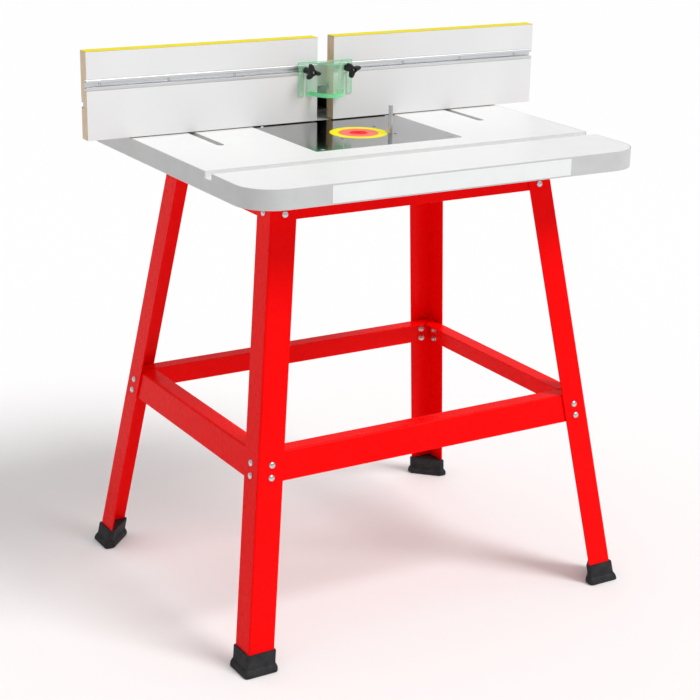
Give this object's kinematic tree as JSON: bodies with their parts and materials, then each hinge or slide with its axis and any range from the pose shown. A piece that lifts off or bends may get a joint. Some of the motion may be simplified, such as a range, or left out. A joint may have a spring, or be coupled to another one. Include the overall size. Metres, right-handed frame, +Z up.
{
  "type": "router table",
  "caption": "Free-standing router table: white top with plate and nested inserts, sliding split fence with clear guard, splayed red steel stand with rubber feet.",
  "frame": {"origin": "on the floor, under the middle of the object", "axes": "+X to the operator's right, -Y towards the operator, +Z up"},
  "size_m": [0.964, 0.6906, 1.025],
  "materials": {
    "white_melamine": "white melamine laminate on MDF, satin",
    "grey_edging": "light grey ABS edging, satin",
    "white_label": "blank white strip, gloss",
    "dark_plate": "dark grey, mirror gloss",
    "yellow_plastic": "yellow, semi-gloss",
    "pink_plastic": "salmon pink, semi-gloss",
    "red_plastic": "red, semi-gloss",
    "polished_steel": "turned and polished",
    "zinc_steel": "bright zinc plated",
    "red_paint": "red powder coat, gloss",
    "black_rubber": "black, matte",
    "white_board": "white melamine faces on MDF, bare cut ends",
    "aluminium": "extruded, satin",
    "yellow_edging": "yellow edging, satin",
    "black_plastic": "black moulding, matte",
    "knob_plastic": "dark grey moulding, satin",
    "clear_green": "clear green acrylic, gloss"
  },
  "bodies": {
    "table": {"tabletop": "white_melamine", "edge_band": "grey_edging", "front_strip": "white_label", "router_plate": "dark_plate", "outer_insert_ring": "yellow_plastic", "middle_insert_ring": "pink_plastic", "inner_insert_disc": "red_plastic", "plate_screw_front_left": "zinc_steel", "plate_screw_front_right": "zinc_steel", "plate_screw_back_left": "zinc_steel", "plate_screw_back_right": "zinc_steel", "leg_front_left": "red_paint", "leg_front_right": "red_paint", "leg_back_left": "red_paint", "leg_back_right": "red_paint", "foot_front_left": "black_rubber", "foot_front_right": "black_rubber", "foot_back_left": "black_rubber", "foot_back_right": "black_rubber", "upper_rail_front": "red_paint", "upper_rail_back": "red_paint", "upper_rail_left": "red_paint", "upper_rail_right": "red_paint", "stretcher_front": "red_paint", "stretcher_back": "red_paint", "stretcher_left": "red_paint", "stretcher_right": "red_paint"},
    "starter_pin": {"starter_pin": "polished_steel"},
    "fence": {"fence_bracket": "aluminium", "dust_hood": "black_plastic", "fence_clamp_bolt_left": "zinc_steel", "fence_clamp_bolt_right": "zinc_steel", "board_bolt_left_inner": "zinc_steel", "board_bolt_left_outer": "zinc_steel", "board_bolt_right_inner": "zinc_steel", "board_bolt_right_outer": "zinc_steel"},
    "guard_slider": {"guard_bolt_left": "zinc_steel", "guard_bolt_right": "zinc_steel"},
    "guard": {"bit_guard": "clear_green"},
    "left_board": {"left_fence_board": "white_board", "left_front_track": "aluminium", "left_back_track": "aluminium", "left_top_strip": "yellow_edging"},
    "right_board": {"right_fence_board": "white_board", "right_front_track": "aluminium", "right_back_track": "aluminium", "right_top_strip": "yellow_edging"},
    "fence_clamp_knob_left": {"fence_clamp_knob_left": "knob_plastic"},
    "fence_clamp_knob_right": {"fence_clamp_knob_right": "knob_plastic"},
    "board_knob_left_inner": {"board_knob_left_inner": "knob_plastic"},
    "board_knob_left_outer": {"board_knob_left_outer": "knob_plastic"},
    "board_knob_right_inner": {"board_knob_right_inner": "knob_plastic"},
    "board_knob_right_outer": {"board_knob_right_outer": "knob_plastic"},
    "guard_knob_left": {"guard_knob_left": "knob_plastic"},
    "guard_knob_right": {"guard_knob_right": "knob_plastic"}
  },
  "joints": [
    {"name": "fence_slide", "type": "slide", "parent": "table", "child": "fence", "axis": [0, 1, 0], "range_m": [-0.125, 0.11]},
    {"name": "starter_pin_lift", "type": "slide", "parent": "table", "child": "starter_pin", "axis": [0, 0, 1], "range_m": [0, 0.018]},
    {"name": "left_board_slide", "type": "slide", "parent": "fence", "child": "left_board", "axis": [1, 0, 0], "range_m": [-0.01, 0.017]},
    {"name": "right_board_slide", "type": "slide", "parent": "fence", "child": "right_board", "axis": [1, 0, 0], "range_m": [-0.017, 0.01]},
    {"name": "guard_shift", "type": "slide", "parent": "fence", "child": "guard_slider", "axis": [1, 0, 0], "range_m": [-0.005, 0.005]},
    {"name": "guard_lift", "type": "slide", "parent": "guard_slider", "child": "guard", "axis": [0, 0, 1], "range_m": [0, 0.04]},
    {"name": "fence_clamp_knob_left_turn", "type": "hinge", "parent": "fence", "child": "fence_clamp_knob_left", "pos_m": [-0.28, 0.195, 0.8723], "axis": [0, 0, 1], "continuous": true},
    {"name": "fence_clamp_knob_right_turn", "type": "hinge", "parent": "fence", "child": "fence_clamp_knob_right", "pos_m": [0.28, 0.195, 0.8723], "axis": [0, 0, 1], "continuous": true},
    {"name": "board_knob_left_inner_turn", "type": "hinge", "parent": "fence", "child": "board_knob_left_inner", "pos_m": [-0.13, 0.1573, 0.9285], "axis": [0, 1, 0], "continuous": true},
    {"name": "board_knob_left_outer_turn", "type": "hinge", "parent": "fence", "child": "board_knob_left_outer", "pos_m": [-0.36, 0.1573, 0.9285], "axis": [0, 1, 0], "continuous": true},
    {"name": "board_knob_right_inner_turn", "type": "hinge", "parent": "fence", "child": "board_knob_right_inner", "pos_m": [0.13, 0.1573, 0.9285], "axis": [0, 1, 0], "continuous": true},
    {"name": "board_knob_right_outer_turn", "type": "hinge", "parent": "fence", "child": "board_knob_right_outer", "pos_m": [0.36, 0.1573, 0.9285], "axis": [0, 1, 0], "continuous": true},
    {"name": "guard_knob_left_turn", "type": "hinge", "parent": "guard_slider", "child": "guard_knob_left", "pos_m": [-0.0445, 0.1234, 0.965], "axis": [0, -1, 0], "continuous": true},
    {"name": "guard_knob_right_turn", "type": "hinge", "parent": "guard_slider", "child": "guard_knob_right", "pos_m": [0.0425, 0.1234, 0.965], "axis": [0, -1, 0], "continuous": true}
  ]
}
